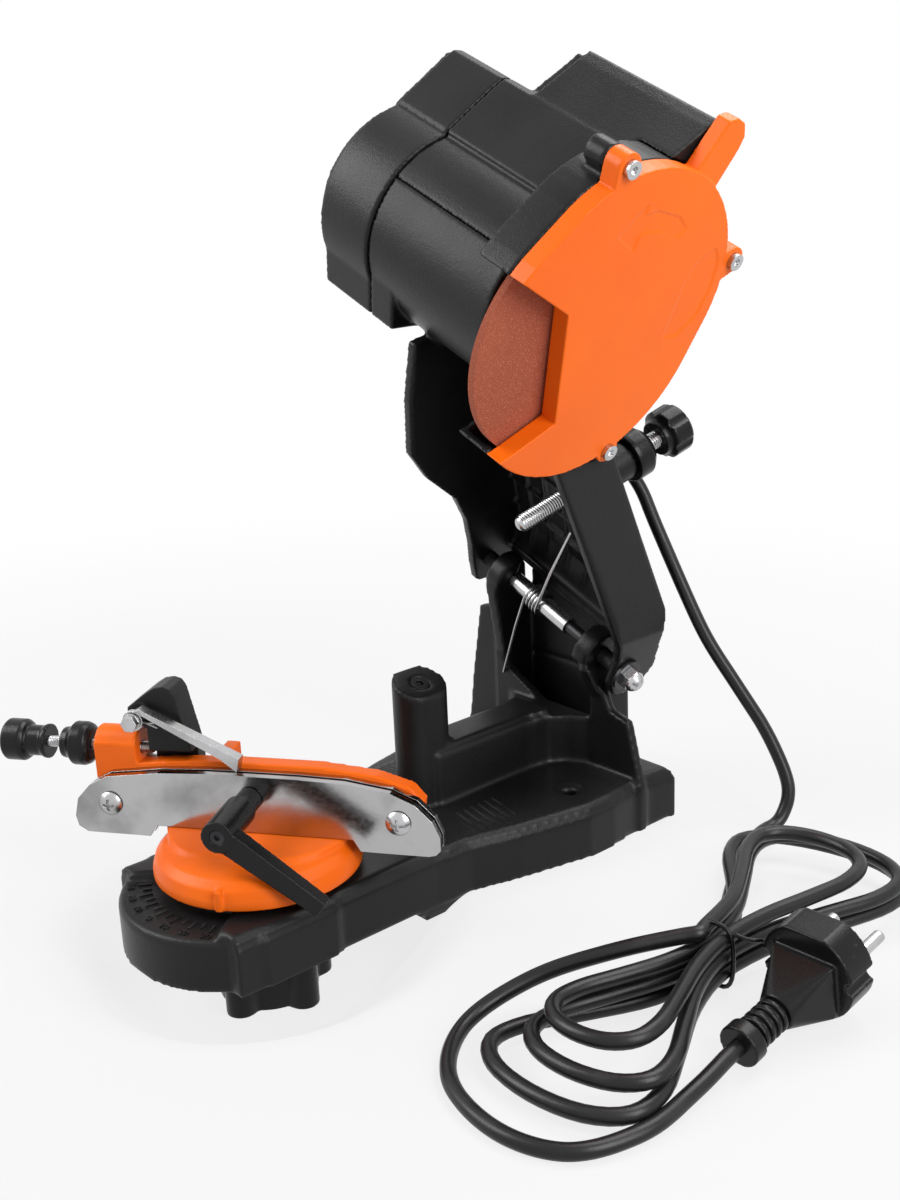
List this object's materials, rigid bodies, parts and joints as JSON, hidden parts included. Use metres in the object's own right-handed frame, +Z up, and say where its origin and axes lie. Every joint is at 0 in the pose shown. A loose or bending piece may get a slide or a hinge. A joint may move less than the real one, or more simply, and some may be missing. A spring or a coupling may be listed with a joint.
{
  "type": "electric chainsaw sharpener",
  "caption": "Bench chain grinder: a guarded wheel and motor tilt on a sloped sprung axle over a swivelling chain vise with clamp lever, tooth stop and depth screw.",
  "frame": {"origin": "swivel axis of the vise, on the plane of the bench under the base", "axes": "+Z up along the swivel axis, +Y to the back of the base, +X to the operator's right"},
  "size_m": [0.3278, 0.2889, 0.3765],
  "materials": {
    "black_plastic": "satin black moulded plastic",
    "orange_plastic": "bright orange satin moulding",
    "orange_casting": "bright orange paint on a casting",
    "zinc_steel": "zinc-plated steel",
    "black_steel": "black oxide",
    "jaw_steel": "ground steel plate",
    "abrasive": "red-brown vitrified abrasive",
    "copper": "copper segments",
    "carbon": "carbon brush",
    "brass": "turned brass insert",
    "cord_rubber": "black cord sheath"
  },
  "bodies": {
    "stand": {"base": "black_plastic", "tower_web": "black_plastic", "post_screw": "black_steel", "axle_bolt": "black_steel", "axle_nut": "zinc_steel", "axle_washer": "black_steel", "spacer_tube": "zinc_steel", "sleeve_left": "black_plastic", "sleeve_right": "black_plastic", "tilt_spring": "zinc_steel", "cord_free": "cord_rubber", "cord_hank": "cord_rubber", "cord_tie": "cord_rubber", "cord_tail": "cord_rubber", "plug": "cord_rubber"},
    "vise": {"vise_body": "orange_casting", "swivel_stud": "zinc_steel", "rear_plate": "jaw_steel", "plate_screw_left": "zinc_steel", "plate_screw_right": "zinc_steel", "guide_pin": "zinc_steel", "clamp_stud": "zinc_steel"},
    "front_jaw": {"front_plate": "jaw_steel"},
    "clamp": {"clamp_lever": "black_plastic", "clamp_screw": "black_steel"},
    "chain_stop": {"stop_carrier": "black_plastic", "pawl_bolt": "zinc_steel", "pawl_spring": "zinc_steel"},
    "pawl_finger": {"pawl": "jaw_steel"},
    "stop_drive": {"stop_screw": "zinc_steel", "stop_knob": "black_plastic"},
    "stop_lock": {"stop_lock_knob": "black_plastic"},
    "swivel_lock": {"lock_knob": "black_plastic", "lock_insert": "brass"},
    "head": {"head_frame": "black_plastic", "motor_cover": "black_plastic", "end_cap": "black_plastic", "wheel_guard": "orange_plastic", "guard_screw_top": "zinc_steel", "guard_screw_right": "zinc_steel", "guard_screw_low": "zinc_steel", "stator": "zinc_steel", "bearing_right": "jaw_steel", "bearing_left": "jaw_steel", "brush_front": "carbon", "brush_back": "carbon", "switch_body": "black_plastic", "cord_gland": "cord_rubber"},
    "spindle": {"rotor": "zinc_steel", "commutator": "copper", "fan": "black_plastic", "inner_flange": "zinc_steel", "grinding_wheel": "abrasive", "outer_flange": "zinc_steel", "wheel_nut": "zinc_steel"},
    "depth_stop": {"depth_bolt": "zinc_steel", "depth_knob": "black_plastic"},
    "depth_lock": {"depth_lock_knob": "black_plastic"},
    "switch": {"switch_rocker": "black_plastic"}
  },
  "joints": [
    {"name": "head_tilt", "type": "hinge", "parent": "stand", "child": "head", "pos_m": [0, 0.1734, 0.0945], "axis": [0.9178, 0, -0.3971], "range_deg": [0, 60], "stiffness_Nm_per_rad": 1.8, "springref_deg": -42.97, "deforming": ["tilt_spring"]},
    {"name": "wheel_spin", "type": "hinge", "parent": "head", "child": "spindle", "pos_m": [0.06354, 0.1191, 0.24134], "axis": [0.9178, 0, -0.3971], "continuous": true},
    {"name": "vise_swivel", "type": "hinge", "parent": "stand", "child": "vise", "pos_m": [0, 0, 0.0275], "axis": [0, 0, 1], "range_deg": [-70, 0]},
    {"name": "swivel_lock_turn", "type": "hinge", "parent": "vise", "child": "swivel_lock", "pos_m": [0, 0, -0.012], "axis": [0, 0, 1], "continuous": true},
    {"name": "clamp_turn", "type": "hinge", "parent": "vise", "child": "clamp", "pos_m": [0.01147, -0.01638, 0.0575], "axis": [-0.5736, 0.8192, 0], "range_deg": [-150, 0]},
    {"name": "jaw_close", "type": "slide", "parent": "vise", "child": "front_jaw", "axis": [-0.5736, 0.8192, 0], "range_m": [0, 0.0006]},
    {"name": "stop_slide", "type": "slide", "parent": "vise", "child": "chain_stop", "axis": [0.8192, 0.5736, 0], "range_m": [-0.003, 0.003]},
    {"name": "stop_feed", "type": "slide", "parent": "vise", "child": "stop_drive", "axis": [0.8192, 0.5736, 0], "range_m": [-0.003, 0.003]},
    {"name": "stop_lock_turn", "type": "hinge", "parent": "vise", "child": "stop_lock", "pos_m": [-0.07405, -0.0372, 0.0706], "axis": [0.8192, 0.5736, 0], "continuous": true},
    {"name": "pawl_lift", "type": "hinge", "parent": "chain_stop", "child": "pawl_finger", "pos_m": [-0.04096, -0.02868, 0.0875], "axis": [0.5736, -0.8192, 0], "range_deg": [0, 20], "stiffness_Nm_per_rad": 0.02, "springref_deg": -22.92, "deforming": ["pawl_spring"]},
    {"name": "depth_feed", "type": "slide", "parent": "head", "child": "depth_stop", "axis": [0.143, 0.933, 0.3304], "range_m": [-0.006, 0.012]},
    {"name": "depth_lock_turn", "type": "hinge", "parent": "head", "child": "depth_lock", "pos_m": [0.04077, 0.187, 0.17361], "axis": [0.143, 0.933, 0.3304], "continuous": true},
    {"name": "switch_rock", "type": "hinge", "parent": "head", "child": "switch", "pos_m": [-0.0151, 0.1419, 0.31896], "axis": [0, 1, 0], "range_deg": [-14, 0]}
  ],
  "couplings": [
    {"joint": "stop_feed", "follows": "stop_slide", "ratio": 1}
  ]
}
